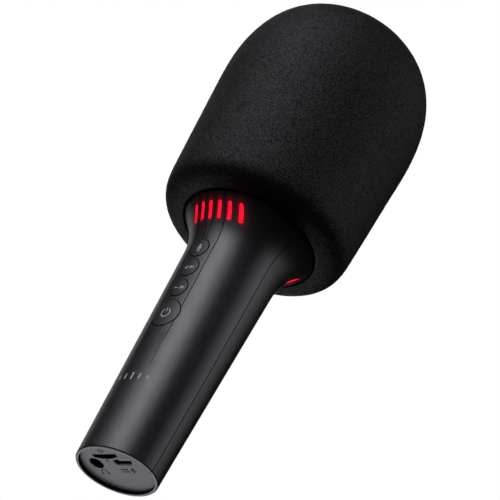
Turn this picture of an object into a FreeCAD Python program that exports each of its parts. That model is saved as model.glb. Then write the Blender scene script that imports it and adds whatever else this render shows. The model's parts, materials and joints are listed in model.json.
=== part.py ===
import FreeCAD, Part
import math
import os

# Karaoke microphone, standing on the rim of its base.
# Millimetres. Origin at the centre of the base, +Z towards the foam head,
# the buttons face -Y. Angles round the handle are measured from the front
# (-Y) towards +X.

Vector = FreeCAD.Vector
Z_AXIS = Vector(0, 0, 1)
Y_AXIS = Vector(0, 1, 0)

# ---- driving dimensions: handle ----
BASE_HALF_X = 17.9          # half width of the oval base
BASE_HALF_Y = 14.87         # half depth of the oval base
WIDEN_X = (3.75, -1.92)     # growth of the half width per 100 mm and per 100 mm squared
WIDEN_Y = (2.48, 1.50)      # growth of the half depth, the same way
FLARE_START = 95.65         # height where the neck begins to flare
COLLAR_Z = 116.1            # top edge of the two shells
COLLAR_R = 27.43            # the neck is round at its top edge
FLARE_POWER = 2.4
WALL = 1.8                  # shell thickness
RIM_WALL = 1.2              # thinner wall round the base plate
SEAM_GAP = 0.36             # width of the line between the two shells
SEAM_DEPTH = 0.7
RIM_ROUND = 0.45            # rounding of the rim's outer edge
GROOVE_WIDTH = 0.34
WIDE_GROOVE = 0.6           # the outermost line on the left is wider
DEEP_GROOVE, FINE_GROOVE = 0.6, 0.15

# ---- decorative grooves of the front: depth and (x, height) points, right-hand side ----
GROOVES = (
    (DEEP_GROOVE, ((0.7, 97.0), (0.8, 101.0), (1.35, 105.0), (2.0, 109.0), (2.2, 112.0), (2.2, 118.0))),
    (DEEP_GROOVE, ((5.5, 50.0), (6.1, 97.0), (6.6, 106.0), (6.6, 118.0))),
    (FINE_GROOVE, ((5.4, 38.0), (5.5, 50.0))),
    (FINE_GROOVE, ((4.65, 43.0), (4.75, 54.0))),
    (FINE_GROOVE, ((3.85, 47.5), (3.9, 53.0))),
)

# ---- base plate and its sockets ----
PLATE_LOW = 1.5
PLATE_HIGH = 3.5
PLATE_GAP = 0.25            # line between the plate and the rim
JACK_X, JACK_Y = -8.7, -3.0
JACK_HOLE_R = 3.0
JACK_BORE_R = 1.78          # bore for a 3.5 mm plug
USB_X, USB_Y = 5.2, -3.6
USB_WIDTH, USB_HEIGHT = 8.94, 3.26
CARD_X, CARD_Y = -1.25, -7.4
CARD_WIDTH = 11.4
CARD_MOUTH = 1.6            # height of the opening at its ends
CARD_BULGE = 1.1            # extra height in the middle, for a fingernail
SOCKET_FACE = 1.7           # height of the sockets' faces, just inside the plate's openings
PINHOLE_X, PINHOLE_Y = -2.0, -4.7
PINHOLE_R = 0.55

# ---- buttons: name, height, radius of the cap ----
BUTTONS = (
    ("mode", 94.1, 4.0),
    ("plus", 84.5, 3.9),
    ("minus", 74.5, 3.8),
    ("power", 62.3, 6.1),
)
BUTTON_GAP = 0.4            # dark line round each cap
BUTTON_PROUD = 0.2          # how far a cap stands out of the shell
FLANGE_EXTRA = 0.8          # the flange under the wall is this much larger
FLANGE_THICK = 0.9
PLUNGER_R = 1.4
PLUNGER_TOP = -13.2         # where the switch plungers meet the button stems

# ---- light slots in the flare ----
SLOT_COUNT = 6
SLOT_PITCH = 4.4
SLOT_OFFSET = 1.6           # the group lies a little to the right of the buttons' line
SLOT_WIDTH = 1.65
SLOT_LOW, SLOT_HIGH = 107.2, 113.5
GUIDE_RECESS = 0.35         # how deep the light guides lie in the slots

# ---- boards ----
BOARD_FRONT, BOARD_REAR = -6.3, -5.3
KEY_FRONT, KEY_REAR = -9.6, -8.6
KEY_SCREWS = ((-5.6, 54.5), (5.6, 54.5), (-5.6, 98.0), (5.6, 98.0))
MAIN_SCREWS = ((-10.2, 26.0), (10.2, 26.0), (-10.2, 84.0), (10.2, 84.0))

# ---- rechargeable cell ----
CELL_R = 9.2
CELL_Y = 4.0
CELL_LOW, CELL_HIGH = 22.0, 87.0

# ---- head ----
RING_TOP = 118.1            # top of the ring that closes the handle
RING_SCREW_R = 22.0
RING_SCREW_LOW = 111.8      # lower tip of the screws
RING_SCREW_ANGLES = (68, 112, 248, 292)
GRILLE_R = 26.9
GRILLE_WALL = 0.9
DOME_Z = 187.0              # centre of the grille's dome
HEAD_OPENING = 19.6         # hole in the ring that the loudspeaker passes

# ---- foam windscreen: rounded lower corner, widening side, dome ----
FOAM_LOW, FOAM_CORNER_Z, FOAM_CORNER_POWER = 115.7, 134.5, 6.0
FOAM_DOME_Z, FOAM_TOP, FOAM_DOME_POWER = 173.14, 228.5, 2.6
FOAM_MEAN_R, FOAM_SLOPE = 41.12, 0.0557
FOAM_BORE_R = 27.3
FOAM_LIP_R = 28.15


def half_axes(z):
    """Half width and half depth of the handle's outer oval at a height."""
    t = z / 100.0
    half_x = BASE_HALF_X + WIDEN_X[0] * t + WIDEN_X[1] * t * t
    half_y = BASE_HALF_Y + WIDEN_Y[0] * t + WIDEN_Y[1] * t * t
    if z > FLARE_START:
        flare = ((z - FLARE_START) / (COLLAR_Z - FLARE_START)) ** FLARE_POWER
        half_x += (COLLAR_R - half_x) * flare
        half_y += (COLLAR_R - half_y) * flare
    return half_x, half_y


def oval(z, inset):
    """Closed wire parallel to the outer oval, moved in by inset."""
    half_x, half_y = half_axes(z)
    steps = 16
    points = []
    for i in range(steps):
        angle = 2 * math.pi * i / steps
        x = (half_x - inset) * math.cos(angle)
        y = (half_y - inset) * math.sin(angle)
        points.append(Vector(x, y, z))
    curve = Part.BSplineCurve()
    curve.interpolate(Points=points, PeriodicFlag=True)
    return Part.Wire(curve.toShape())


def handle_body(inset, low=-1.0, high=COLLAR_Z + 1.0):
    """Solid handle shape, moved in by inset, between two heights."""
    stations = [low]
    for z in (12, 26, 40, 54, 68, 80, 89, 95, 98.5, 101.5, 104.5, 107.5, 110, 112, 114):
        if low + 1 < z < high - 1:
            stations.append(z)
    stations.append(high)
    return Part.makeLoft([oval(z, inset) for z in stations], True, False)


def handle_outside():
    """Whole outer shape, its lower edge rounded by two narrow facets."""
    middle = RIM_ROUND * 0.3
    edge = Part.makeLoft([oval(0.0, RIM_ROUND), oval(middle, middle), oval(RIM_ROUND, 0.0)], True, True)
    return edge.fuse(handle_body(0.0, RIM_ROUND, COLLAR_Z))


def box(x0, y0, z0, x1, y1, z1):
    return Part.makeBox(x1 - x0, y1 - y0, z1 - z0, Vector(x0, y0, z0))


def rod(radius, low, high, x=0.0, y=0.0):
    """Upright cylinder between two heights."""
    return Part.makeCylinder(radius, high - low, Vector(x, y, low), Z_AXIS)


def rod_y(radius, y0, y1, x, z):
    """Cylinder along Y."""
    return Part.makeCylinder(radius, y1 - y0, Vector(x, y0, z), Y_AXIS)


def tube(outer, inner, low, high):
    return rod(outer, low, high).cut(rod(inner, low - 1, high + 1))


def mirrored(shape):
    """Mirror image in the plane between the two shells."""
    return shape.mirror(Vector(0, 0, 0), Y_AXIS)


def turned(shape, degrees):
    """Copy turned about the microphone's axis."""
    copy = shape.copy()
    copy.rotate(Vector(0, 0, 0), Z_AXIS, degrees)
    return copy


def fused(shapes):
    shapes = list(shapes)
    if len(shapes) == 1:
        return shapes[0]
    return shapes[0].multiFuse(shapes[1:]).removeSplitter()


def revolved(points):
    """Solid of revolution of a closed outline of (radius, height) points."""
    corners = [Vector(r, 0, z) for r, z in points]
    wire = Part.makePolygon(corners + [corners[0]])
    return Part.Face(wire).revolve(Vector(0, 0, 0), Z_AXIS, 360)


def obround(width, height, low, high, x, y):
    """Upright prism with a slot-shaped section, long side along X."""
    end = height / 2
    reach = width / 2 - end
    middle = box(x - reach, y - end, low, x + reach, y + end, high)
    left = rod(end, low, high, x - reach, y)
    right = rod(end, low, high, x + reach, y)
    return fused([middle, left, right])


def at_angle(radius, degrees):
    """Plan position at a radius and an angle from the front."""
    a = math.radians(degrees)
    return radius * math.sin(a), -radius * math.cos(a)


FLANGE_INSET = WALL + 0.12
OUTER = handle_outside()
INNER = handle_body(WALL)
MID_WALL = handle_body(WALL / 2)
SKIN = {depth: handle_body(depth) for depth in (FINE_GROOVE, DEEP_GROOVE, SEAM_DEPTH)}
CROWN_OUTER = handle_body(-BUTTON_PROUD)
CROWN_INNER = handle_body(WALL + 0.4)
FLANGE_OUTER = handle_body(FLANGE_INSET)
FLANGE_INNER = handle_body(FLANGE_INSET + FLANGE_THICK)
CASING = OUTER.cut(INNER).cut(handle_body(RIM_WALL, -1.0, PLATE_HIGH))


def slot_centres():
    first = SLOT_OFFSET - SLOT_PITCH * (SLOT_COUNT - 1) / 2
    return [first + SLOT_PITCH * i for i in range(SLOT_COUNT)]


def slots(width, low, high):
    """Front group of light slots: bars along Y with rounded top and bottom."""
    r = width / 2
    bars = []
    for x in slot_centres():
        middle = box(x - r, -40, low + r, x + r, -10, high - r)
        bars.append(fused([middle, rod_y(r, -40, -10, x, low + r), rod_y(r, -40, -10, x, high - r)]))
    return bars


def groove(depth, path, side, width=GROOVE_WIDTH):
    """Line cut in the front's skin along (x, height) points, on one side."""
    half = width / 2
    right = [Vector(side * x + half, -40, z) for x, z in path]
    left = [Vector(side * x - half, -40, z) for x, z in reversed(path)]
    outline = Part.makePolygon(right + left + right[:1])
    return Part.Face(outline).extrude(Vector(0, 35, 0)).cut(SKIN[depth])


def grooves():
    cuts = [groove(depth, path, side) for depth, path in GROOVES for side in (-1, 1)]
    outer_depth, outer_path = GROOVES[1]
    return cuts + [groove(outer_depth, outer_path, -1, WIDE_GROOVE)]


def seam():
    """The thin step along both sides where the shells meet."""
    slab = box(-40, -SEAM_GAP / 2, -2, 40, SEAM_GAP / 2, 120)
    return slab.cut(SKIN[SEAM_DEPTH])


def ring_boss(degrees):
    """Screw boss that the head ring is fastened to, with its pilot hole."""
    x, y = at_angle(RING_SCREW_R, degrees)
    boss = rod(2.1, 106.0, COLLAR_Z, x, y).common(MID_WALL)
    return boss, rod(0.9, RING_SCREW_LOW - 0.2, COLLAR_Z + 1, x, y)


def light_board_shelf(degrees):
    """Small ledge under the light board."""
    ledge = turned(box(-2.0, -30, 102.4, 2.0, -16.4, 103.8), degrees)
    return ledge.common(MID_WALL)


def shell_half(front):
    """One half of the handle casing with its own bosses and ledges."""
    side = box(-40, -40, -2, 40, 0, 120) if front else box(-40, 0, -2, 40, 40, 120)
    shell = CASING.common(side)
    added, removed = [], []
    for degrees in RING_SCREW_ANGLES:
        if (degrees < 90 or degrees > 270) == front:
            boss, pilot = ring_boss(degrees)
            added.append(boss)
            removed.append(pilot)
    for degrees in (55, 125, 235, 305):
        if (degrees < 90 or degrees > 270) == front:
            added.append(light_board_shelf(degrees))
    return shell, added, removed


def front_shell():
    shell, added, removed = shell_half(True)
    for x, z in MAIN_SCREWS:
        added.append(rod_y(2.0, -20, BOARD_FRONT, x, z).common(MID_WALL))
        removed.append(rod_y(0.85, -9.8, BOARD_FRONT + 1, x, z))
    for x, z in KEY_SCREWS:
        added.append(rod_y(1.6, -20, KEY_FRONT, x, z).common(MID_WALL))
        removed.append(rod_y(0.65, -12.2, KEY_FRONT + 1, x, z))
    removed += slots(SLOT_WIDTH, SLOT_LOW, SLOT_HIGH)
    removed += grooves()
    removed.append(seam())
    for name, z, radius in BUTTONS:
        removed.append(rod_y(radius + BUTTON_GAP, -30, -13.0, 0, z))
    return fused([shell] + added).cut(Part.makeCompound(removed))


def rear_shell():
    shell, added, removed = shell_half(False)
    removed += [mirrored(bar) for bar in slots(SLOT_WIDTH, SLOT_LOW, SLOT_HIGH)]
    removed.append(seam())
    for z in (24.0, 80.0):
        rib = box(-1.0, 10, z, 1.0, 30, z + 1.2).common(MID_WALL)
        added.append(rib.cut(rod(CELL_R + 0.4, 0, 110, 0, CELL_Y)))
    return fused([shell] + added).cut(Part.makeCompound(removed))


def card_mouth(low, high, shrink=0.0):
    """Slot for a card, bulging in the middle; made smaller all round by shrink."""
    half, mouth = CARD_WIDTH / 2 + 0.3, CARD_MOUTH / 2
    bulge_r = (half * half + CARD_BULGE * CARD_BULGE) / (2 * CARD_BULGE)
    edge = CARD_Y + mouth
    slot = box(CARD_X - half + shrink, CARD_Y - mouth + shrink, low, CARD_X + half - shrink, edge - shrink, high)
    bulge = rod(bulge_r - shrink, low, high, CARD_X, edge + CARD_BULGE - bulge_r)
    bulge = bulge.common(box(CARD_X - half + shrink, CARD_Y, low, CARD_X + half - shrink, CARD_Y + 4, high))
    return fused([slot, bulge])


def port_plate():
    """Oval plate sunk in the base, with an opening for each socket."""
    face = Part.Face(oval(PLATE_LOW, RIM_WALL + PLATE_GAP))
    plate = face.extrude(Vector(0, 0, PLATE_HIGH - PLATE_LOW))
    low, high = PLATE_LOW - 1, PLATE_HIGH + 1
    openings = [
        rod(JACK_HOLE_R, low, high, JACK_X, JACK_Y),
        obround(USB_WIDTH + 0.2, USB_HEIGHT + 0.2, low, high, USB_X, USB_Y),
        card_mouth(low, high),
        rod(PINHOLE_R, low, high, PINHOLE_X, PINHOLE_Y),
        box(13.2, 2.45, low, 18.0, 2.85, PLATE_LOW + 0.6),
    ]
    return plate.cut(Part.makeCompound(openings))


def usb_receptacle():
    low, high = SOCKET_FACE, 9.35
    shell = obround(USB_WIDTH, USB_HEIGHT, low, high, USB_X, USB_Y)
    hollow = obround(USB_WIDTH - 0.6, USB_HEIGHT - 0.6, low - 1, high - 1.0, USB_X, USB_Y)
    tongue = box(USB_X - 3.1, USB_Y - 0.35, low + 0.7, USB_X + 3.1, USB_Y + 0.35, high)
    return fused([shell.cut(hollow), tongue])


def jack_socket():
    low, high = PLATE_HIGH, 17.0
    body = box(JACK_X - 3.0, BOARD_REAR, low, JACK_X + 3.0, JACK_Y + 2.6, high)
    nose = rod(JACK_HOLE_R - 0.15, SOCKET_FACE, low, JACK_X, JACK_Y)
    bore = rod(JACK_BORE_R, PLATE_LOW - 1, high - 0.8, JACK_X, JACK_Y)
    return fused([body, nose]).cut(bore).common(box(-40, BOARD_REAR, 0, 40, 40, 50))


def card_socket():
    low, high = PLATE_HIGH + 0.1, 18.0
    half = CARD_WIDTH / 2
    body = box(CARD_X - half - 1.2, CARD_Y - 0.9, low, CARD_X + half + 1.2, BOARD_FRONT, high)
    slot = box(CARD_X - half, CARD_Y - 0.45, PLATE_LOW, CARD_X + half, CARD_Y + 0.45, high - 1.0)
    return fused([body, card_mouth(SOCKET_FACE, low, 0.1)]).cut(slot)


def light_pipe():
    """Clear rod behind the pinhole, standing on the main board."""
    stem = rod(PINHOLE_R - 0.05, PLATE_LOW + 1.2, 6.2, PINHOLE_X, PINHOLE_Y)
    foot = box(PINHOLE_X - 0.9, BOARD_REAR, 6.2, PINHOLE_X + 0.9, PINHOLE_Y + 0.7, 8.0)
    return fused([stem.common(box(-40, BOARD_REAR, 0, 40, 40, 7)), foot])


def main_board():
    board = box(-12.4, BOARD_FRONT, 4.0, 12.4, BOARD_REAR, 91.0)
    holes = [rod_y(1.1, BOARD_FRONT - 1, BOARD_REAR + 1, x, z) for x, z in MAIN_SCREWS]
    return board.cut(Part.makeCompound(holes))


def board_chips():
    """Amplifier, radio module, controller and a choke on the board's front."""
    spots = ((-7.5, 44, 7, 7, 0.9), (1.5, 41, 9.5, 13, 1.1), (-8, 56, 5, 6, 0.9), (2, 60, 6, 6, 1.6))
    chips = []
    for x, z, width, height, rise in spots:
        chips.append(box(x, BOARD_FRONT - rise, z, x + width, BOARD_FRONT, z + height))
    return Part.makeCompound(chips)


def screw_y(x, z, head_at, head_r, shank_r, length):
    """Pan-head screw whose head sits at head_at and whose shank points to -Y."""
    head = rod_y(head_r, head_at, head_at + 1.1, x, z)
    drive = box(x - head_r * 0.7, head_at + 0.6, z - 0.2, x + head_r * 0.7, head_at + 2, z + 0.2)
    cross = box(x - 0.2, head_at + 0.6, z - head_r * 0.7, x + 0.2, head_at + 2, z + head_r * 0.7)
    shank = rod_y(shank_r, head_at - length, head_at, x, z)
    return fused([head, shank]).cut(Part.makeCompound([drive, cross]))


def main_board_screws():
    screws = [screw_y(x, z, BOARD_REAR, 1.8, 0.85, 4.0) for x, z in MAIN_SCREWS]
    return Part.makeCompound(screws)


def key_board_screws():
    screws = [screw_y(x, z, KEY_REAR, 1.3, 0.65, 3.2) for x, z in KEY_SCREWS]
    return Part.makeCompound(screws)


def battery_cell():
    """Steel can with a crimp groove near its positive end."""
    cell = rod(CELL_R, CELL_LOW, CELL_HIGH, 0, CELL_Y)
    groove_cut = rod(CELL_R + 1, 82.6, 83.6, 0, CELL_Y).cut(rod(CELL_R - 0.4, 80, 90, 0, CELL_Y))
    return cell.cut(groove_cut)


def cell_holder():
    """Open tray with two end walls, on the rear face of the main board."""
    block = box(-9.7, BOARD_REAR, CELL_LOW - 1.8, 9.7, 1.0, CELL_HIGH + 1.8)
    hollow = rod(CELL_R + 0.15, CELL_LOW - 0.3, CELL_HIGH + 0.3, 0, CELL_Y)
    floor_gap = box(-6.0, BOARD_REAR - 1, CELL_LOW - 0.3, 6.0, 2, CELL_HIGH + 0.3)
    heads = [rod_y(2.1, BOARD_REAR - 1, BOARD_REAR + 1.6, x, z) for x, z in MAIN_SCREWS]
    return block.cut(Part.makeCompound([hollow, floor_gap] + heads))


def cell_contacts():
    low = box(-4, CELL_Y - 7.5, CELL_LOW - 0.3, 4, CELL_Y - 3.5, CELL_LOW)
    high = box(-4, CELL_Y - 7.5, CELL_HIGH, 4, CELL_Y - 3.5, CELL_HIGH + 0.3)
    return Part.makeCompound([low, high])


def cell_pad():
    """Soft pad that keeps the cell from rattling against the rear shell."""
    pad = box(-5, 11, 64, 5, 20, 78).common(INNER)
    return pad.cut(rod(CELL_R, 0, 110, 0, CELL_Y))


def key_board():
    board = box(-7.6, KEY_FRONT, 52.0, 7.6, KEY_REAR, 99.9)
    holes = [rod_y(0.8, KEY_FRONT - 1, KEY_REAR + 1, x, z) for x, z in KEY_SCREWS]
    return board.cut(Part.makeCompound(holes))


def tact_switches():
    """Four square switch bodies, each with a round well for its plunger."""
    switches = []
    for name, z, radius in BUTTONS:
        body = box(-3, -12.2, z - 3, 3, KEY_FRONT, z + 3)
        switches.append(body.cut(rod_y(PLUNGER_R + 0.1, -13, -10.4, 0, z)))
    return Part.makeCompound(switches)


def plunger(z):
    return rod_y(PLUNGER_R, PLUNGER_TOP, -11.2, 0, z)


def button_cap(z, radius):
    """Round cap that follows the shell, with a flange behind the wall and a stem."""
    crown = rod_y(radius, -30, -12, 0, z).common(CROWN_OUTER).cut(CROWN_INNER)
    flange = rod_y(radius + FLANGE_EXTRA, -30, -10, 0, z).common(FLANGE_OUTER).cut(FLANGE_INNER)
    stem = rod_y(1.5, -30, PLUNGER_TOP, 0, z).common(FLANGE_OUTER)
    return fused([crown, flange, stem])


def light_board():
    return tube(18.0, 14.9, 103.8, 104.8)


def ring_leds():
    """Small light-emitting diodes, one behind each slot."""
    chip = box(-0.8, -17.4, 104.8, 0.8, -15.8, 105.6)
    chips = []
    for x in slot_centres():
        angle = math.degrees(math.asin(x / COLLAR_R))
        chips += [turned(chip, angle), mirrored(turned(chip, angle))]
    return Part.makeCompound(chips)


def light_guide():
    """Clear band inside the flare with a rib that fills each front slot."""
    band = handle_body(WALL + 0.05, 105.9, 113.9).cut(handle_body(WALL + 1.25))
    wedge = Part.makeCylinder(40, 20, Vector(0, 0, 100), Z_AXIS, 90)
    pieces = [band.common(turned(wedge, -135))]
    sleeve = handle_body(GUIDE_RECESS).cut(handle_body(WALL + 0.6))
    for bar in slots(SLOT_WIDTH - 0.1, SLOT_LOW + 0.05, SLOT_HIGH - 0.05):
        pieces.append(bar.common(sleeve))
    return fused(pieces)


def head_ring():
    """Flat ring that closes the top of the shells and carries the head."""
    ring = tube(27.0, HEAD_OPENING, COLLAR_Z, RING_TOP)
    holes = []
    for degrees in RING_SCREW_ANGLES:
        x, y = at_angle(RING_SCREW_R, degrees)
        holes.append(rod(1.05, COLLAR_Z - 1, RING_TOP + 1, x, y))
        holes.append(Part.makeCone(1.05, 2.1, 1.05, Vector(x, y, RING_TOP - 1.05), Z_AXIS))
    return ring.cut(Part.makeCompound(holes))


def head_ring_screws():
    screws = []
    for degrees in RING_SCREW_ANGLES:
        x, y = at_angle(RING_SCREW_R, degrees)
        head = Part.makeCone(0.9, 1.95, 1.05, Vector(x, y, RING_TOP - 1.05), Z_AXIS)
        slot = box(x - 1.4, y - 0.2, RING_TOP - 0.5, x + 1.4, y + 0.2, RING_TOP + 1)
        shank = rod(0.9, RING_SCREW_LOW, RING_TOP - 1.05, x, y)
        screws.append(fused([head, shank]).cut(slot))
    return Part.makeCompound(screws)


def speaker_frame():
    """Pressed basket: bottom plate, windowed cone and flat flange."""
    outline = [
        (9.5, 108.0), (14.8, 108.0), (19.2, 117.6), (19.2, RING_TOP), (24.6, RING_TOP),
        (24.6, RING_TOP + 1.4), (18.0, RING_TOP + 1.4), (18.0, 117.6), (14.2, 109.4), (9.5, 109.4),
    ]
    frame = revolved(outline)
    window = box(-3.4, -24, 110.8, 3.4, -10, 115.8)
    windows = [turned(window, 60 * i) for i in range(6)]
    return frame.cut(Part.makeCompound(windows))


def speaker_magnet():
    """Ring magnet with its back plate and centre pole; the coil runs in the gap."""
    body = rod(14.0, 100.8, 108.0).cut(tube(9.5, 8.1, 102.5, 109.0))
    return fused([body, rod(8.1, 107.0, 109.4)])


def voice_coil():
    return tube(9.15, 8.45, 104.2, 112.0)


def speaker_cone():
    return revolved([(9.2, 111.0), (9.2, 111.5), (17.1, 118.3), (17.1, 117.75)])


def dust_cap():
    """Shallow dome on the coil, inside the cone."""
    ball = Part.makeSphere(12.0, Vector(0, 0, 103.6))
    hollow = Part.makeSphere(11.6, Vector(0, 0, 103.6))
    return ball.cut(hollow).common(rod(9.1, 112.0, 120.0))


def speaker_surround():
    """Half-roll rubber edge from the flange inwards to the cone's rim."""
    top = RING_TOP + 1.4
    roll_r, roll_c = 1.3, 18.7
    ring = Part.makeTorus(roll_c, roll_r, Vector(0, 0, top), Z_AXIS)
    hollow = Part.makeTorus(roll_c, roll_r - 0.4, Vector(0, 0, top), Z_AXIS)
    upper = rod(30, top, top + 5)
    roll = ring.cut(hollow).common(upper)
    return fused([roll, tube(23.5, roll_c + roll_r - 0.4, top, top + 0.4)])


def speaker_gasket():
    return tube(24.6, 21.0, RING_TOP + 1.8, RING_TOP + 3.0)


def capsule_cradle():
    """Ring, three tall posts and a spoked hub that hold the capsule high up."""
    low = RING_TOP + 3.0
    pieces = [tube(25.6, 21.2, low, low + 2.0)]
    pieces.append(tube(24.6, 21.6, 184.0, 186.0))
    pieces.append(tube(10.6, 8.8, 182.0, 192.0))
    post = rod(1.3, low + 1, 185.0, 0, -22.9)
    spoke = box(-1.2, -22.4, 183.0, 1.2, -9.8, 185.5)
    for i in range(3):
        pieces.append(turned(post, 60 + 120 * i))
        pieces.append(turned(spoke, 60 + 120 * i))
    return fused(pieces)


def capsule_mount():
    """Soft rubber cup round the capsule."""
    return revolved([(8.8, 182.0), (8.8, 192.0), (9.8, 192.0), (9.8, 193.0), (7.4, 193.0), (7.4, 182.0)])


def mic_capsule():
    """Metal can with a ring of sound holes in its top."""
    can = rod(7.4, 183.5, 194.0)
    holes = [rod(0.8, 192.5, 195.0)]
    for i in range(6):
        x, y = at_angle(3.2, 60 * i)
        holes.append(rod(0.8, 192.5, 195.0, x, y))
    return can.cut(Part.makeCompound(holes))


def grille_wall(radius, low):
    """Solid of a tall cylinder with a half-ball top."""
    return fused([rod(radius, low, DOME_Z), Part.makeSphere(radius, Vector(0, 0, DOME_Z))])


def head_grille():
    """Hard basket under the foam, pierced by rows of round holes."""
    wall = grille_wall(GRILLE_R, RING_TOP).cut(grille_wall(GRILLE_R - GRILLE_WALL, RING_TOP - 5))
    wall = wall.common(rod(40, RING_TOP, 300))
    cuts = []
    for row in range(7):
        bar = rod_y(3.4, -30, -23, 0, 128.0 + 9.2 * row)
        for i in range(12):
            cuts.append(turned(bar, 30 * i + 15 * (row % 2)))
    for tilt, count in ((22, 12), (43, 9), (65, 5)):
        bar = rod_y(3.0, -30, -23, 0, DOME_Z)
        bar.rotate(Vector(0, 0, DOME_Z), Vector(1, 0, 0), -tilt)
        for i in range(count):
            cuts.append(turned(bar, 360.0 * i / count))
    cuts.append(rod(3.0, DOME_Z + 23, DOME_Z + 30))
    return wall.cut(Part.makeCompound(cuts))


def foam_width(z):
    """Radius of the foam's slightly tapering side, without its rounded ends."""
    return FOAM_MEAN_R + FOAM_SLOPE * (z - (FOAM_CORNER_Z + FOAM_DOME_Z) / 2)


def foam_side():
    """Outline points from the lip round the lower corner, up the side, over the dome."""
    points = []
    power = FOAM_CORNER_POWER
    first = math.acos((FOAM_LIP_R / foam_width(FOAM_LOW)) ** (power / 2))
    for i in range(9):
        phi = first * (1 - i / 8.0)
        z = FOAM_CORNER_Z - (FOAM_CORNER_Z - FOAM_LOW) * math.sin(phi) ** (2 / power)
        points.append((foam_width(z) * math.cos(phi) ** (2 / power), z))
    for z in (144.0, 154.0, 164.0):
        points.append((foam_width(z), z))
    power = FOAM_DOME_POWER
    for i in range(14):
        phi = math.pi / 2 * i / 13.0
        z = FOAM_DOME_Z + (FOAM_TOP - FOAM_DOME_Z) * math.sin(phi) ** (2 / power)
        points.append((foam_width(z) * max(math.cos(phi), 0.0) ** (2 / power), z))
    points[-1] = (0.0, FOAM_TOP)
    return points


def foam_windscreen():
    """Thick foam cap with a bore that fits over the grille."""
    side = [Vector(r, 0, z) for r, z in foam_side()]
    curve = Part.BSplineCurve()
    curve.interpolate(Points=side)
    lip = side[0]
    bore_low = Vector(FOAM_BORE_R, 0, lip.z + 0.3)
    bore_high = Vector(FOAM_BORE_R, 0, DOME_Z)
    slant = FOAM_BORE_R * math.sqrt(0.5)
    dome_mid = Vector(slant, 0, DOME_Z + slant)
    dome_top = Vector(0, 0, DOME_Z + FOAM_BORE_R)
    edges = [
        curve.toShape(),
        Part.makeLine(side[-1], dome_top),
        Part.Arc(dome_top, dome_mid, bore_high).toShape(),
        Part.makeLine(bore_high, bore_low),
        Part.makeLine(bore_low, lip),
    ]
    return Part.Face(Part.Wire(edges)).revolve(Vector(0, 0, 0), Z_AXIS, 360)


def export(name, shape):
    shape.exportStep("parts/" + name + ".step")


def main():
    os.makedirs("parts", exist_ok=True)
    export("front_shell", front_shell())
    export("rear_shell", rear_shell())
    export("port_plate", port_plate())
    export("usb_receptacle", usb_receptacle())
    export("jack_socket", jack_socket())
    export("card_socket", card_socket())
    export("light_pipe", light_pipe())
    export("main_board", main_board())
    export("board_chips", board_chips())
    export("main_board_screws", main_board_screws())
    export("battery_cell", battery_cell())
    export("cell_holder", cell_holder())
    export("cell_contacts", cell_contacts())
    export("cell_pad", cell_pad())
    export("key_board", key_board())
    export("key_board_screws", key_board_screws())
    export("tact_switches", tact_switches())
    for name, z, radius in BUTTONS:
        export(name + "_button", button_cap(z, radius))
        export(name + "_plunger", plunger(z))
    export("light_board", light_board())
    export("ring_leds", ring_leds())
    guide = light_guide()
    export("front_light_guide", guide)
    export("rear_light_guide", mirrored(guide))
    export("head_ring", head_ring())
    export("head_ring_screws", head_ring_screws())
    export("speaker_frame", speaker_frame())
    export("speaker_magnet", speaker_magnet())
    export("voice_coil", voice_coil())
    export("speaker_cone", speaker_cone())
    export("dust_cap", dust_cap())
    export("speaker_surround", speaker_surround())
    export("speaker_gasket", speaker_gasket())
    export("capsule_cradle", capsule_cradle())
    export("capsule_mount", capsule_mount())
    export("mic_capsule", mic_capsule())
    export("head_grille", head_grille())
    export("foam_windscreen", foam_windscreen())


main()
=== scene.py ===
import json
import math

import bmesh
import bpy
from mathutils import Matrix, Vector, noise
from mathutils.bvhtree import BVHTree


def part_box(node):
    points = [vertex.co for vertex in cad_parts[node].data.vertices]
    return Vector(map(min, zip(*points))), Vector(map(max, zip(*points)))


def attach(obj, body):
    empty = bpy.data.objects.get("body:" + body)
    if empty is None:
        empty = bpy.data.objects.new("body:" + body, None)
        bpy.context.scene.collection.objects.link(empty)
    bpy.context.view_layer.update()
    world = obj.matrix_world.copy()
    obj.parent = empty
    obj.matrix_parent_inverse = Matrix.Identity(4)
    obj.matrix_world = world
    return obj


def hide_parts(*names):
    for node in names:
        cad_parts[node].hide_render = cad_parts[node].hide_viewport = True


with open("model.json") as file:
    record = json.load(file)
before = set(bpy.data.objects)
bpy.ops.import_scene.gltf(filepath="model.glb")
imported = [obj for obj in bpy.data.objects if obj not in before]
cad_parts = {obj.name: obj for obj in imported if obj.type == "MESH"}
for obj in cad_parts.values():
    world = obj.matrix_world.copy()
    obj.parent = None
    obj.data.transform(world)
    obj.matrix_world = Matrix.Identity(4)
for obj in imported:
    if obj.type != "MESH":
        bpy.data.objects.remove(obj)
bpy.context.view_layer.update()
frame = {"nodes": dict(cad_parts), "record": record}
nodes = frame["nodes"]

MM = 0.001

# ---- camera: where the photograph was taken from ----
AZIMUTH, ELEVATION, ROLL = (math.radians(a) for a in (51.28, -32.89, 29.46))
DISTANCE = 0.8649
AIM = Vector((-0.0012, 0.0044, 0.1144))
LENS_MM = 158.4

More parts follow.
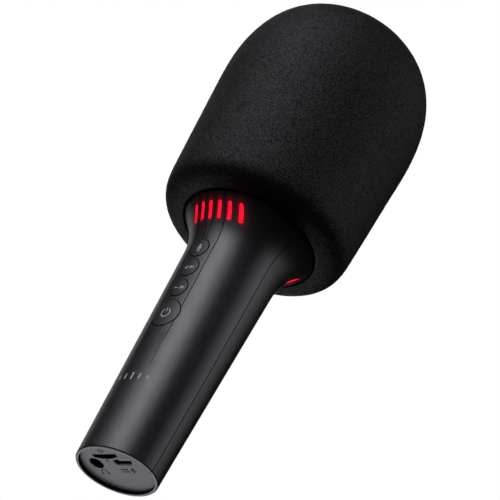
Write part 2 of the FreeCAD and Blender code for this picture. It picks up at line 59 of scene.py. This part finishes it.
# ---- light: azimuth of each panel from the front, towards +X, and its power in watts ----
BROAD_LIGHTS = ((0, 6.9), (120, 2.1))       # each has a weaker panel on both sides
FLANK_TURN, FLANK_SHARE = 20, 0.47
NARROW_LIGHTS = ((-129, 1.8), (-100, 0.8), (-40, 0.4), (160, 0.4))
PANEL_ELEVATION, PANEL_DISTANCE = 30, 1.1
PANEL_WIDTH, PANEL_HEIGHT = 0.4, 1.1
UNDER_POWER, UNDER_ELEVATION, UNDER_SIZE = 0.5, -88, 0.7
RIM_LIGHT = (-128.7, -33, 2.6)              # azimuth, elevation and power; it is seen in the base's rim
RIM_LIGHT_SIZE = 0.6
LOW_LIGHT_DISTANCE = 1.0
LIGHT_TARGET = Vector((0, 0, 0.12))
LIGHT_COLOUR = (0.945, 0.93, 1.0)
FLOOR_HALF, FLOOR_Z, FLOOR_CELLS = 40.0, -1.35, 8

# ---- heights read from the frame ----
FOAM_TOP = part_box("foam_windscreen")[1].z
COLLAR_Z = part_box("front_shell")[1].z
GRILLE_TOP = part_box("head_grille")[1].z

# ---- light slots in the collar: upright bars side by side along X ----
SLOT_PITCH, SLOT_OFFSET, SLOT_LAST, SLOT_HALF = 0.0044, 0.0016, 0.011, 0.00083
SLOT_Z, SLOT_REACH = COLLAR_Z - 0.00575, 0.0023
# painted red glow on the shell round each slot: how far it fades and how bright it is
PAINTED_GLOW_LENGTH, PAINTED_GLOW_STRENGTH = 0.0007, 0.09


# ------------------------------------------------------------------ materials
class Look:
    """A node material with a Principled shader and short helpers."""

    def __init__(self, name, **values):
        self.material = bpy.data.materials.new(name)
        self.material.use_nodes = True
        self.tree = self.material.node_tree
        self.shader = self.tree.nodes["Principled BSDF"]
        self.coords = self.tree.nodes.new("ShaderNodeTexCoord").outputs["Object"]
        for socket, value in values.items():
            self.shader.inputs[socket.replace("_", " ")].default_value = value

    def node(self, kind, **settings):
        made = self.tree.nodes.new(kind)
        for key, value in settings.items():
            if key in made.inputs:
                made.inputs[key].default_value = value
            else:
                setattr(made, key, value)
        return made

    def link(self, a, b):
        self.tree.links.new(a, b)

    def noise(self, size, detail=2.0, rough=0.5):
        """Noise whose grain is about size metres across, from 0 to 1."""
        made = self.node("ShaderNodeTexNoise", Scale=1.0 / size, Detail=detail, Roughness=rough)
        self.link(self.coords, made.inputs["Vector"])
        return made.outputs["Fac"]

    def ramp(self, source, *stops):
        """Colour or grey by (place, colour) stops."""
        made = self.node("ShaderNodeValToRGB")
        elements = made.color_ramp.elements
        while len(elements) < len(stops):
            elements.new(0.5)
        for element, (place, colour) in zip(elements, stops):
            element.position = place
            if not isinstance(colour, (tuple, list)):
                colour = (colour, colour, colour)
            element.color = (*colour, 1.0)
        self.link(source, made.inputs["Fac"])
        return made.outputs["Color"]

    def maths(self, operation, a, b=0.0, c=0.0):
        """One arithmetic step on sockets or numbers."""
        made = self.node("ShaderNodeMath", operation=operation)
        for socket, value in zip(made.inputs, (a, b, c)):
            if isinstance(value, (int, float)):
                socket.default_value = value
            else:
                self.link(value, socket)
        return made.outputs["Value"]

    def colour(self, source, *stops):
        self.link(self.ramp(source, *stops), self.shader.inputs["Base Color"])

    def roughness(self, source, low, high):
        self.link(self.ramp(source, (0.3, low), (0.7, high)), self.shader.inputs["Roughness"])

    def bump(self, *layers):
        """Stacked bumps, each (height source, depth in metres)."""
        normal = None
        for source, depth in layers:
            made = self.node("ShaderNodeBump", Distance=depth)
            self.link(source, made.inputs["Height"])
            if normal:
                self.link(normal, made.inputs["Normal"])
            normal = made.outputs["Normal"]
        self.link(normal, self.shader.inputs["Normal"])


def moulded(name, dark, light, rough, grain=0.00022, depth=0.000006, shine=0.5):
    """Moulded plastic: fine spark texture, slight tone and gloss variation."""
    look = Look(name, Specular_IOR_Level=shine)
    look.colour(look.noise(0.03, 3.0), (0.3, dark), (0.7, light))
    look.roughness(look.noise(0.006, 3.0), rough - 0.025, rough + 0.025)
    look.bump((look.noise(grain, 1.0), depth), (look.noise(0.012, 2.0), 0.000012))
    return look.material


def shell_look():
    """Satin handle plastic with a dim painted red glow round each slot of the collar: emission in the
    shell itself, standing in for the halo of the light guides.
    """
    look = Look("satin_black_plastic", Specular_IOR_Level=0.5)
    look.colour(look.noise(0.03, 3.0), (0.3, (0.0125, 0.0122, 0.0136)), (0.7, (0.0155, 0.0151, 0.0168)))
    look.roughness(look.noise(0.006, 3.0), 0.335, 0.385)
    look.bump((look.noise(0.00022, 1.0), 0.000006), (look.noise(0.012, 2.0), 0.000012))
    # painted glow: red emission on the shell that fades with distance from each slot's edge
    place = look.node("ShaderNodeSeparateXYZ")
    look.link(look.coords, place.inputs["Vector"])
    x = look.maths("ABSOLUTE", look.maths("SUBTRACT", place.outputs["X"], SLOT_OFFSET))
    outside = look.maths("SUBTRACT", x, SLOT_LAST)
    between = look.maths("PINGPONG", look.maths("ADD", x, SLOT_PITCH / 2), SLOT_PITCH / 2)
    dx = look.maths("MAXIMUM", between, outside)
    dz = look.maths("ABSOLUTE", look.maths("SUBTRACT", place.outputs["Z"], SLOT_Z))
    dz = look.maths("MAXIMUM", look.maths("SUBTRACT", dz, SLOT_REACH), 0.0)
    square = look.maths("MULTIPLY_ADD", dx, dx, look.maths("MULTIPLY", dz, dz))
    from_edge = look.maths("SUBTRACT", look.maths("SQRT", square), SLOT_HALF)
    fade = look.maths("EXPONENT", look.maths("MULTIPLY", from_edge, -1.0 / PAINTED_GLOW_LENGTH))
    painted_glow = look.maths("MINIMUM", fade, 1.0)
    look.link(look.maths("MULTIPLY", painted_glow, PAINTED_GLOW_STRENGTH), look.shader.inputs["Emission Strength"])
    look.shader.inputs["Emission Color"].default_value = (1.0, 0.0, 0.03, 1.0)
    return look.material


def foam_look():
    """Open-cell foam: random grain, with colour and specular lower where the grain bump is low as painted
    shade in the pores, slightly lighter skin between them, faint sheen.
    """
    look = Look("foam_open_cell")
    grain = look.noise(0.00055, 3.0, 0.7)
    # painted shade: the colour and specular drop where the grain bump below is low, in the pores
    look.colour(grain, (0.38, (0.001, 0.001, 0.001)), (0.66, (0.0125, 0.0125, 0.0133)))
    look.link(look.ramp(grain, (0.38, 0.02), (0.62, 0.3)), look.shader.inputs["Specular IOR Level"])
    look.roughness(look.noise(0.002, 2.0), 0.56, 0.64)
    look.bump((grain, 0.0002), (look.noise(0.00035, 2.0, 0.7), 0.00005))
    return look.material


def metal(name, dark, light, rough, grain=(0.0006, 0.000004)):
    look = Look(name, Metallic=1.0)
    look.colour(look.noise(0.004, 3.0), (0.3, dark), (0.7, light))
    look.roughness(look.noise(0.0015, 3.0), rough - 0.05, rough + 0.07)
    look.bump((look.noise(grain[0], 2.0), grain[1]))
    return look.material


def painted_metal(name, dark, light, rough):
    look = Look(name, Metallic=0.3, Specular_IOR_Level=0.5)
    look.colour(look.noise(0.003, 3.0), (0.3, dark), (0.7, light))
    look.roughness(look.noise(0.0015, 3.0), rough - 0.05, rough + 0.06)
    look.bump((look.noise(0.0004, 2.0), 0.00001))
    return look.material


def glowing_plastic():
    """Red light guide lit from behind, with a faint streaky core."""
    look = Look("red_light_guide", Roughness=0.25)
    look.colour(look.noise(0.002, 2.0), (0.3, (0.6, 0.0, 0.01)), (0.7, (0.8, 0.005, 0.02)))
    look.bump((look.noise(0.0008, 2.0), 0.000008))
    glow = look.ramp(look.noise(0.003, 1.0), (0.3, (0.95, 0.0, 0.011)), (0.7, (1.0, 0.004, 0.016)))
    look.link(glow, look.shader.inputs["Emission Color"])
    look.shader.inputs["Emission Strength"].default_value = 2.6
    return look.material


def board_look():
    """Green solder mask, lighter and darker green in a fine noise."""
    look = Look("solder_mask", Roughness=0.35)
    look.colour(look.noise(0.0025, 4.0, 0.7), (0.42, (0.004, 0.05, 0.022)), (0.58, (0.01, 0.11, 0.045)))
    look.roughness(look.noise(0.001, 2.0), 0.3, 0.42)
    look.bump((look.noise(0.0012, 3.0), 0.00001))
    return look.material


def paper_look(name, dark, light):
    look = Look(name, Specular_IOR_Level=0.3)
    look.colour(look.noise(0.0008, 5.0, 0.7), (0.35, dark), (0.65, light))
    look.roughness(look.noise(0.001, 2.0), 0.75, 0.9)
    look.bump((look.noise(0.0005, 4.0, 0.7), 0.00004))
    return look.material


def print_look(name, dark, light):
    """Thin printed ink."""
    look = Look(name, Specular_IOR_Level=0.15)
    look.colour(look.noise(0.0004, 3.0), (0.3, dark), (0.7, light))
    look.roughness(look.noise(0.0006, 2.0), 0.65, 0.8)
    look.bump((look.noise(0.0002, 2.0), 0.000004))
    return look.material


def grey(value, blue=1.06):
    return (value, value, value * blue)


LOOKS = {
    "shell_plastic": shell_look(),
    "plate_plastic": moulded("grey_base_plastic", grey(0.42), grey(0.48), 0.6, 0.0003, 0.00002),
    "button_plastic": moulded("button_black_plastic", grey(0.014), grey(0.018), 0.4),
    "foam": foam_look(),
    "light_plastic": glowing_plastic(),
    "clear_plastic": moulded("clear_light_pipe", grey(0.5), grey(0.6), 0.2),
    "inner_plastic": moulded("inner_black_plastic", grey(0.005), grey(0.008), 0.55, shine=0.2),
    "board": board_look(),
    "chip": moulded("chip_resin", grey(0.012), grey(0.02), 0.55, 0.0001, 0.000008),
    "led": moulded("led_resin", (0.6, 0.5, 0.3), (0.75, 0.65, 0.4), 0.25),
    "steel": metal("nickel_plated_steel", grey(0.45), grey(0.6), 0.28),
    "black_steel": painted_metal("black_painted_steel", grey(0.015), grey(0.024), 0.38),
    "magnet": painted_metal("ferrite", grey(0.03), grey(0.05), 0.6),
    "copper": metal("copper_wire", (0.6, 0.25, 0.1), (0.75, 0.36, 0.17), 0.3, (0.0003, 0.00003)),
    "paper": paper_look("pressed_paper", grey(0.012), grey(0.025)),
    "rubber": moulded("soft_rubber", grey(0.012), grey(0.018), 0.65, 0.0003, 0.00001),
    "cell": painted_metal("cell_wrap", (0.01, 0.08, 0.25), (0.015, 0.11, 0.32), 0.3),
    "ring_metal": metal("brushed_aluminium", grey(0.5), grey(0.62), 0.35),
}
SOCKET_BLACK = moulded("socket_black", grey(0.003), grey(0.005), 0.8, shine=0.0)
NODE_LOOKS = {
    "card_socket": SOCKET_BLACK,
    "jack_socket": SOCKET_BLACK,
    "light_pipe": moulded("smoked_light_pipe", grey(0.012), grey(0.02), 0.3, shine=0.2),
    "usb_receptacle": metal("dark_nickel", grey(0.07), grey(0.11), 0.4),
}
INK = print_look("light_grey_print", grey(0.34), grey(0.4))
DARK_INK = print_look("dark_grey_print", grey(0.008), grey(0.013))


def dress_frame():
    """Gives every CAD node the material of its slot."""
    slot_of = {s["node"]: s["material_slot"] for s in frame["record"]["subparts"]}
    for name, obj in nodes.items():
        obj.data.materials.clear()
        obj.data.materials.append(NODE_LOOKS.get(name) or LOOKS[slot_of[name]])


# ------------------------------------------------------------------ mesh helpers
def new_object(name, verts, faces, look, body, smooth=True):
    mesh = bpy.data.meshes.new(name)
    mesh.from_pydata([tuple(v) for v in verts], [], faces)
    mesh.validate()
    made = bmesh.new()
    made.from_mesh(mesh)
    bmesh.ops.recalc_face_normals(made, faces=made.faces)
    made.to_mesh(mesh)
    made.free()
    for polygon in mesh.polygons:
        polygon.use_smooth = smooth
    obj = bpy.data.objects.new(name, mesh)
    bpy.context.scene.collection.objects.link(obj)
    obj.data.materials.append(look)
    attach(obj, body)
    return obj


# ------------------------------------------------------------------ foam windscreen
CORNER_Z, CORNER_POWER = COLLAR_Z + 0.0184, 6.0
DOME_START, DOME_POWER = COLLAR_Z + 0.05704, 2.6
MEAN_R, SLOPE = 0.04112, 0.0557
LIP_R, BORE_R = 0.0286, 0.0273
RELIEF_DEPTH = 0.0024               # widened mouth of the bore, a dark line round the collar
SEGMENTS, RING_STEP = 400, 0.00078  # points round the foam, and the spacing of its rings


def foam_width(z):
    return MEAN_R + SLOPE * (z - (CORNER_Z + DOME_START) / 2)


def foam_profile():
    """(radius, height) points of the outer skin, from the lip to the top."""
    low = COLLAR_Z - 0.0004
    points = []
    first = math.acos((LIP_R / foam_width(low)) ** (CORNER_POWER / 2))
    count = 30
    for i in range(count):
        phi = first * (1 - i / (count - 1)) ** 1.35
        z = CORNER_Z - (CORNER_Z - low) * math.sin(phi) ** (2 / CORNER_POWER)
        points.append((foam_width(z) * math.cos(phi) ** (2 / CORNER_POWER), z))
    count = 60
    for i in range(1, count + 1):
        z = CORNER_Z + (DOME_START - CORNER_Z) * i / count
        points.append((foam_width(z), z))
    count = 90
    for i in range(1, count + 1):
        phi = math.pi / 2 * i / count
        z = DOME_START + (FOAM_TOP - DOME_START) * math.sin(phi) ** (2 / DOME_POWER)
        points.append((foam_width(z) * max(math.cos(phi), 0.0) ** (2 / DOME_POWER), z))
    return points


def even_points(points, step):
    """The same line with points about step apart."""
    lengths = [0.0]
    for (r0, z0), (r1, z1) in zip(points, points[1:]):
        lengths.append(lengths[-1] + math.hypot(r1 - r0, z1 - z0))
    count = round(lengths[-1] / step)
    out, k = [], 0
    for i in range(count + 1):
        at = lengths[-1] * i / count
        while k < len(points) - 2 and lengths[k + 1] < at:
            k += 1
        span = lengths[k + 1] - lengths[k]
        t = (at - lengths[k]) / span if span else 0.0
        (r0, z0), (r1, z1) = points[k], points[k + 1]
        out.append((r0 + (r1 - r0) * t, z0 + (z1 - z0) * t))
    return out


def bore_profile():
    """From the top of the bore down to its mouth."""
    dome_z = GRILLE_TOP + 0.0004 - BORE_R + 0.00017
    points = []
    for i in range(20):
        phi = math.pi / 2 * (1 - i / 19)
        points.append((BORE_R * math.cos(phi), dome_z + BORE_R * math.sin(phi)))
    relief_z = COLLAR_Z + RELIEF_DEPTH
    for i in range(1, 25):
        points.append((BORE_R, dome_z + (relief_z - dome_z) * i / 24))
    return points + [(BORE_R + 0.0008, relief_z - 0.0006), (BORE_R + 0.001, COLLAR_Z + 0.0006)]


def foam_windscreen():
    """Foam cap as one closed mesh with a grained skin."""
    outer = even_points(foam_profile(), RING_STEP)
    inner = bore_profile()[1:]
    rings = outer[:-1]
    verts, faces = [], []

    def grain(p, strength):
        fine = noise.noise(p * 1100.0) * 0.00009 + noise.noise(p * 480.0) * 0.00004
        broad = noise.noise(p * 45.0) * 0.00012
        return (fine + broad) * strength

    def ring(r, z, normal_r, normal_z, strength):
        start = len(verts)
        for i in range(SEGMENTS):
            a = 2 * math.pi * i / SEGMENTS
            p = Vector((r * math.cos(a), r * math.sin(a), z))
            push = grain(p, strength)
            n = Vector((math.cos(a) * normal_r, math.sin(a) * normal_r, normal_z))
            verts.append(p + n * push)
        return start

    starts = []
    for i, (r, z) in enumerate(rings):
        r0, z0 = outer[max(i - 1, 0)]
        r1, z1 = outer[min(i + 1, len(outer) - 1)]
        run = math.hypot(r1 - r0, z1 - z0) or 1.0
        strength = min(1.0, 0.15 + i / 6)
        starts.append(ring(r, z, (z1 - z0) / run, -(r1 - r0) / run, strength))
    top = len(verts)
    verts.append(Vector((0, 0, FOAM_TOP - 0.0001)))
    inner_starts = [ring(r, z, -1.0, 0.0, 0.35) for r, z in inner]
    inner_top = len(verts)
    verts.append(Vector((0, 0, bore_profile()[0][1])))

    def strip(a, b):
        for i in range(SEGMENTS):
            j = (i + 1) % SEGMENTS
            faces.append((a + i, a + j, b + j, b + i))

    for a, b in zip(starts, starts[1:]):
        strip(a, b)
    for a, b in zip(inner_starts, inner_starts[1:]):
        strip(a, b)
    strip(inner_starts[-1], starts[0])
    for i in range(SEGMENTS):
        j = (i + 1) % SEGMENTS
        faces.append((starts[-1] + i, starts[-1] + j, top))
        faces.append((inner_starts[0] + j, inner_starts[0] + i, inner_top))
    foam = new_object("foam_cap", verts, faces, LOOKS["foam"], "windscreen")
    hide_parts("foam_windscreen")


# ------------------------------------------------------------------ printed symbols
PRINT_HALF = 0.00003                # half the thickness of the ink
BARS_Z = 0.0324                     # height of the sound-level bars on the handle


def surface_of(name):
    """Search tree over a CAD node's mesh, in the row frame."""
    mesh = nodes[name].data
    verts = [v.co.copy() for v in mesh.vertices]
    return BVHTree.FromPolygons(verts, [tuple(p.vertices) for p in mesh.polygons])


def bar(x0, z0, x1, z1, width):
    """Straight stroke as a closed outline strip: two rows of points."""
    along = Vector((x1 - x0, z1 - z0))
    side = Vector((-along.y, along.x)).normalized() * (width / 2)
    steps = max(2, int(along.length / 0.35))
    rows = []
    for i in range(steps + 1):
        p = Vector((x0, z0)) + along * (i / steps)
        rows.append((p + side, p - side))
    return rows


def arc(cx, cz, radius, start, end, width):
    """Curved stroke, angles in degrees."""
    steps = max(6, int(abs(end - start) / 9))
    rows = []
    for i in range(steps + 1):
        a = math.radians(start + (end - start) * i / steps)
        d = Vector((math.cos(a), math.sin(a)))
        c = Vector((cx, cz))
        rows.append((c + d * (radius + width / 2), c + d * (radius - width / 2)))
    return rows


def triangle(cx, cz, size):
    """Small solid triangle that points to +X."""
    rows = []
    for i in range(5):
        t = i / 4
        x = cx - size / 2 + size * t
        half = size * 0.62 * (1 - t) + 0.02
        rows.append((Vector((x, cz + half)), Vector((x, cz - half))))
    return rows


def pill(cx, cz, width, height):
    """Upright solid capsule."""
    rows, r = [], width / 2
    reach = height / 2 - r
    for i in range(9):
        a = math.pi / 2 * (1 - i / 8)
        x, z = max(r * math.cos(a), 0.02), reach + r * math.sin(a)
        rows.append((Vector((cx - x, cz + z)), Vector((cx + x, cz + z))))
    return rows + [(Vector((a.x, 2 * cz - a.y)), Vector((b.x, 2 * cz - b.y))) for a, b in reversed(rows)]


def print_on(name, strokes, place, body, look):
    """Thin raised print: strokes in millimetres, put on the surface by place(u, v)."""
    verts, faces = [], []
    for rows in strokes:
        base = len(verts)
        for a, b in rows:
            for p in (a, b):
                point, normal = place(p.x * MM, p.y * MM)
                verts.append(point + normal * PRINT_HALF)
                verts.append(point - normal * PRINT_HALF)
        for i in range(len(rows) - 1):
            k = base + 4 * i
            faces.append((k, k + 2, k + 6, k + 4))
            faces.append((k + 1, k + 5, k + 7, k + 3))
            faces.append((k, k + 4, k + 5, k + 1))
            faces.append((k + 2, k + 3, k + 7, k + 6))
        last = base + 4 * (len(rows) - 1)
        faces.append((base, base + 1, base + 3, base + 2))
        faces.append((last, last + 2, last + 3, last + 1))
    return new_object(name, verts, faces, look, body, smooth=False)


def on_front(node, centre_z):
    """Places (x, z) on the front surface of a node, measured from a height."""
    tree = surface_of(node)

    def place(u, v):
        start = Vector((u, -0.1, centre_z + v))
        point, normal, _, _ = tree.ray_cast(start, Vector((0, 1, 0)))
        return point, normal

    return place


def on_base(u, v):
    """Places (x, y) on the lower face of the base plate."""
    return Vector((u, v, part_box("port_plate")[0].z)), Vector((0, 0, -1))


def middle_z(node):
    low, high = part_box(node)
    return (low.z + high.z) / 2


def button_symbols():
    stroke = 0.42
    mode = [
        pill(0, 0.75, 1.15, 2.1),
        arc(0, 0.55, 1.15, 200, 340, 0.32),
        bar(0, -0.6, 0, -1.5, 0.34),
        bar(-0.75, -1.6, 0.75, -1.6, 0.34),
    ]
    plus = [bar(-2.2, 0, -0.5, 0, stroke), bar(-1.35, -0.85, -1.35, 0.85, stroke)]
    minus = [bar(-2.2, 0, -0.5, 0, stroke)]
    skip = [triangle(0.95, 0, 1.3), bar(1.85, -0.75, 1.85, 0.75, 0.36)]
    back = [[(Vector((2.7 - a.x, a.y)), Vector((2.7 - b.x, b.y))) for a, b in rows] for rows in skip]
    power = [arc(0, 0, 1.95, 125, 415, 0.45), bar(0, 0.55, 0, 2.35, 0.45)]
    for key, strokes in (("mode", mode), ("plus", plus + skip), ("minus", minus + back), ("power", power)):
        node = key + "_button"
        place = on_front(node, middle_z(node))
        print_on(key + "_symbol", strokes, place, key + "_key", INK)


def level_bars():
    """Five sound-level bars on the front of the handle."""
    heights = (1.4, 2.4, 3.4, 2.4, 1.4)
    pitch = 3.5
    strokes = [bar(pitch * (i - 2), -h / 2, pitch * (i - 2), h / 2, 0.8) for i, h in enumerate(heights)]
    print_on("level_bars", strokes, on_front("front_shell", BARS_Z), "handset", INK)


def base_symbols():
    """Card, headphone and charging symbols printed on the base plate."""
    card = [
        bar(-2.4, -10.7, -0.4, -10.7, 0.4),
        bar(-2.4, -10.7, -2.4, -9.3, 0.4),
        bar(-2.4, -9.3, -0.9, -9.3, 0.4),
        bar(-0.9, -9.3, -0.4, -9.8, 0.4),
        bar(-0.4, -9.8, -0.4, -10.7, 0.4),
    ]
    phones = [
        arc(-8.3, 2.3, 1.5, 180, 360, 0.42),
        bar(-9.8, 2.2, -9.8, 3.4, 0.8),
        bar(-6.8, 2.2, -6.8, 3.4, 0.8),
    ]
    charge = [bar(0.9, 0.7, 4.5, 0.7, 0.65)]
    charge += [bar(x, 2.0, x + 0.9, 2.0, 0.65) for x in (0.9, 2.3, 3.7)]
    charge += [
        bar(7.4, 0.0, 6.0, 1.4, 0.6),
        bar(6.0, 1.4, 7.6, 1.3, 0.6),
        bar(7.6, 1.3, 6.2, 2.7, 0.6),
    ]
    for name, strokes in (("card_symbol", card), ("headphone_symbol", phones), ("charge_symbol", charge)):
        print_on(name, strokes, on_base, "handset", DARK_INK)


# ------------------------------------------------------------------ stage
def camera_axes():
    """The camera's right, up and backward directions."""
    back = Vector((
        math.sin(AZIMUTH) * math.cos(ELEVATION),
        -math.cos(AZIMUTH) * math.cos(ELEVATION),
        math.sin(ELEVATION),
    ))
    level = Vector((math.cos(AZIMUTH), math.sin(AZIMUTH), 0))
    upright = back.cross(level)
    right = level * math.cos(ROLL) + upright * math.sin(ROLL)
    up = upright * math.cos(ROLL) - level * math.sin(ROLL)
    return right, up, back


def make_camera():
    right, up, back = camera_axes()
    data = bpy.data.cameras.new("camera")
    data.lens = LENS_MM
    data.sensor_width = 36.0
    data.clip_start, data.clip_end = 0.05, 100.0
    camera = bpy.data.objects.new("camera", data)
    bpy.context.scene.collection.objects.link(camera)
    turn = Matrix((right, up, back)).transposed().to_4x4()
    camera.matrix_world = Matrix.Translation(AIM + back * DISTANCE) @ turn
    bpy.context.scene.camera = camera


def softbox(name, azimuth, elevation, distance, width, height, power):
    """Area light that faces the microphone; azimuth from the front, towards +X."""
    a, e = math.radians(azimuth), math.radians(elevation)
    out = Vector((math.sin(a) * math.cos(e), -math.cos(a) * math.cos(e), math.sin(e)))
    data = bpy.data.lights.new(name, "AREA")
    data.shape = "RECTANGLE"
    data.size, data.size_y = width, height
    data.energy = power
    data.color = LIGHT_COLOUR
    light = bpy.data.objects.new(name, data)
    light.location = LIGHT_TARGET + out * distance
    light.rotation_mode = "QUATERNION"
    light.rotation_quaternion = out.to_track_quat("Z", "Y")
    bpy.context.scene.collection.objects.link(light)


def make_lights():
    """Tall panels round the microphone and above it, one weak light below the base, and the rim light."""
    panels = list(NARROW_LIGHTS)
    for azimuth, power in BROAD_LIGHTS:
        panels.append((azimuth, power))
        panels.append((azimuth - FLANK_TURN, power * FLANK_SHARE))
        panels.append((azimuth + FLANK_TURN, power * FLANK_SHARE))
    for azimuth, power in panels:
        name = f"panel_{azimuth % 360}"
        softbox(name, azimuth, PANEL_ELEVATION, PANEL_DISTANCE, PANEL_WIDTH, PANEL_HEIGHT, power)
    softbox("under", 0, UNDER_ELEVATION, LOW_LIGHT_DISTANCE, UNDER_SIZE, UNDER_SIZE, UNDER_POWER)
    azimuth, elevation, power = RIM_LIGHT
    softbox("rim_light", azimuth, elevation, LOW_LIGHT_DISTANCE, RIM_LIGHT_SIZE, RIM_LIGHT_SIZE, power)


def make_world():
    """White backdrop for the eye, dim grey for the light that reaches the object."""
    world = bpy.data.worlds.new("studio")
    bpy.context.scene.world = world
    world.use_nodes = True
    tree = world.node_tree
    tree.nodes.clear()
    seen = tree.nodes.new("ShaderNodeBackground")
    seen.inputs["Color"].default_value = (1, 1, 1, 1)
    seen.inputs["Strength"].default_value = 1.0
    fill = tree.nodes.new("ShaderNodeBackground")
    fill.inputs["Color"].default_value = (0.96, 0.98, 1.0, 1)
    fill.inputs["Strength"].default_value = 0.004
    path = tree.nodes.new("ShaderNodeLightPath")
    mix = tree.nodes.new("ShaderNodeMixShader")
    out = tree.nodes.new("ShaderNodeOutputWorld")
    tree.links.new(path.outputs["Is Camera Ray"], mix.inputs["Fac"])
    tree.links.new(fill.outputs[0], mix.inputs[1])
    tree.links.new(seen.outputs[0], mix.inputs[2])
    tree.links.new(mix.outputs[0], out.inputs["Surface"])


def make_floor():
    """Plain pale floor, a little luminous, far below so that the view from underneath stays open."""
    look = Look("pale_floor", Roughness=0.9, Emission_Strength=0.93, Emission_Color=(1.0, 1.0, 1.0, 1.0))
    look.colour(look.noise(0.5, 2.0), (0.3, 0.78), (0.7, 0.82))
    row = FLOOR_CELLS + 1
    verts, faces = [], []
    for j in range(row):
        for i in range(row):
            x, y = 2 * i / FLOOR_CELLS - 1, 2 * j / FLOOR_CELLS - 1
            verts.append((FLOOR_HALF * x, FLOOR_HALF * y, FLOOR_Z))
    for j in range(FLOOR_CELLS):
        for i in range(FLOOR_CELLS):
            a = j * row + i
            faces.append((a, a + 1, a + row + 1, a + row))
    mesh = bpy.data.meshes.new("floor")
    mesh.from_pydata(verts, [], faces)
    mesh.materials.append(look.material)
    floor = bpy.data.objects.new("floor", mesh)
    bpy.context.scene.collection.objects.link(floor)
    floor.visible_diffuse = False
    floor.visible_glossy = False


dress_frame()
foam_windscreen()
button_symbols()
level_bars()
base_symbols()
make_camera()
make_lights()
make_world()
make_floor()
bpy.context.scene.view_settings.view_transform = "Standard"
